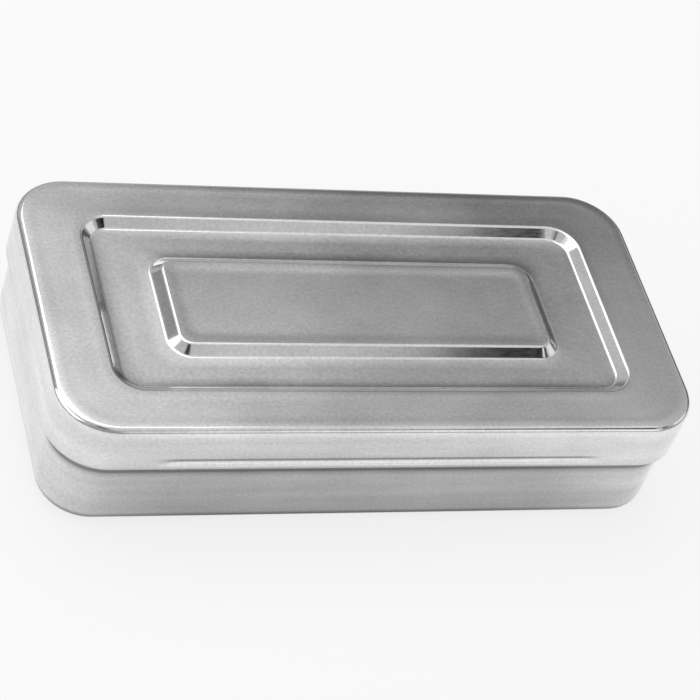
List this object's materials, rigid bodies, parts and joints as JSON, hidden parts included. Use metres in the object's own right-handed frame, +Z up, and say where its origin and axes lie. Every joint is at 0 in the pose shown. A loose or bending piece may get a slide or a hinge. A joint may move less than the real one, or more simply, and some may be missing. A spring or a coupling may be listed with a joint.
{
  "type": "instrument box",
  "caption": "Shallow rectangular steel box with round corners: drawn tray with a hemmed rim, and a lift-off lid with a pressed recess round a raised middle.",
  "frame": {"origin": "middle of the tray's flat underside, which the box stands on", "axes": "+X along the box's long side, +Y along its short side, +Z up"},
  "size_m": [0.203, 0.102, 0.044],
  "materials": {
    "tray_steel": "fine satin stainless steel, brighter on the bends",
    "lid_steel": "fine satin stainless steel, brighter on the bends"
  },
  "bodies": {
    "base": {"tray": "tray_steel"},
    "cover": {"lid": "lid_steel"}
  },
  "joints": [
    {"name": "lid_lift", "type": "slide", "parent": "base", "child": "cover", "axis": [0, 0, 1], "range_m": [0, 0.06]}
  ]
}
